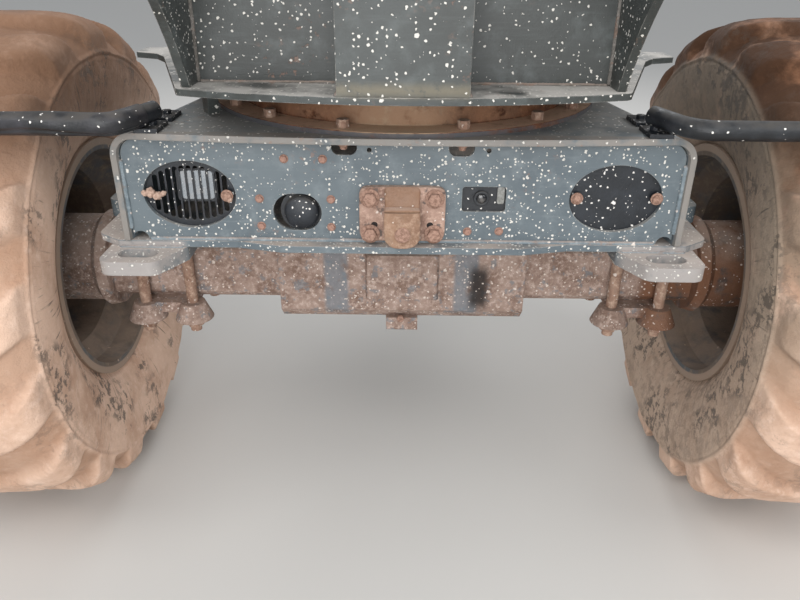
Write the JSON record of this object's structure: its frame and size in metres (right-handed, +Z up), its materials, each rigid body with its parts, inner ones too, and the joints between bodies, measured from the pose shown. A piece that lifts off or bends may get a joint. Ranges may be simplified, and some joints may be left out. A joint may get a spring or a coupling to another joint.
{
  "type": "swivel dumper front chassis unit",
  "caption": "Front chassis of a swivel site dumper: deck box, axle with flotation tyres, slew ring and turning skip carrier, ending at the articulation ears.",
  "frame": {"origin": "middle of the upright articulation pin bore, half way between its two ears, at the back of the unit", "axes": "-Y is the front of the machine, +X is the driver's left, +Z is up"},
  "size_m": [2.426, 2.0428, 1.3765],
  "materials": {
    "tyre": "clay-caked rubber",
    "rim_paint": "dirty grey paint",
    "axle_iron": "rusty casting",
    "bolt_steel": "rusty steel",
    "ring_steel": "rusty steel",
    "bracket_steel": "worn paint and rust",
    "black_paint": "satin black paint",
    "black_plastic": "matte black",
    "turntable_paint": "worn grey-green paint",
    "frame_paint": "worn blue-grey paint"
  },
  "bodies": {
    "front_chassis": {"arm_bracket_left": "black_paint", "arm_bracket_right": "black_paint", "axle_clamp_left": "axle_iron", "axle_clamp_right": "axle_iron", "axle_housing": "axle_iron", "axle_seat_left": "frame_paint", "axle_seat_right": "frame_paint", "axle_studs": "bolt_steel", "back_plate": "frame_paint", "bed_plate": "frame_paint", "camera_unit": "black_plastic", "drive_flange": "axle_iron", "face_plate": "frame_paint", "head_web": "frame_paint", "hood_shell": "frame_paint", "lamp_arm_left": "black_paint", "lamp_arm_right": "black_paint", "lamp_guard": "black_paint", "lashing_lug_left": "frame_paint", "lashing_lug_right": "frame_paint", "marker_lamp_left": "black_plastic", "marker_lamp_right": "black_plastic", "oval_cover": "black_paint", "pivot_ear_lower": "frame_paint", "pivot_ear_upper": "frame_paint", "rear_belly": "frame_paint", "rear_cover": "frame_paint", "rear_rail_left": "frame_paint", "rear_rail_right": "frame_paint", "ring_bolts": "bolt_steel", "round_cap": "black_plastic", "slew_ring_outer": "ring_steel", "tow_bracket": "bracket_steel", "work_lamp": "black_plastic"},
    "turntable": {"centre_box": "turntable_paint", "cheek_left": "turntable_paint", "cheek_right": "turntable_paint", "cross_panel": "turntable_paint", "ram_ears": "turntable_paint", "rear_panel": "turntable_paint", "stop_tab": "turntable_paint", "turntable_base": "turntable_paint", "slew_ring_inner": "ring_steel"},
    "wheel_left": {"tyre_left": "tyre", "rim_left": "rim_paint", "hub_left": "axle_iron"},
    "wheel_right": {"tyre_right": "tyre", "rim_right": "rim_paint", "hub_right": "axle_iron"}
  },
  "joints": [
    {"name": "turntable_swivel", "type": "hinge", "parent": "front_chassis", "child": "turntable", "pos_m": [0, -1.25, 0.27], "axis": [0, 0, 1], "range_deg": [-90, 90]},
    {"name": "wheel_left_spin", "type": "hinge", "parent": "front_chassis", "child": "wheel_left", "pos_m": [0.963, -1.25, -0.2], "axis": [1, 0, 0], "continuous": true},
    {"name": "wheel_right_spin", "type": "hinge", "parent": "front_chassis", "child": "wheel_right", "pos_m": [-0.963, -1.25, -0.2], "axis": [1, 0, 0], "continuous": true}
  ]
}
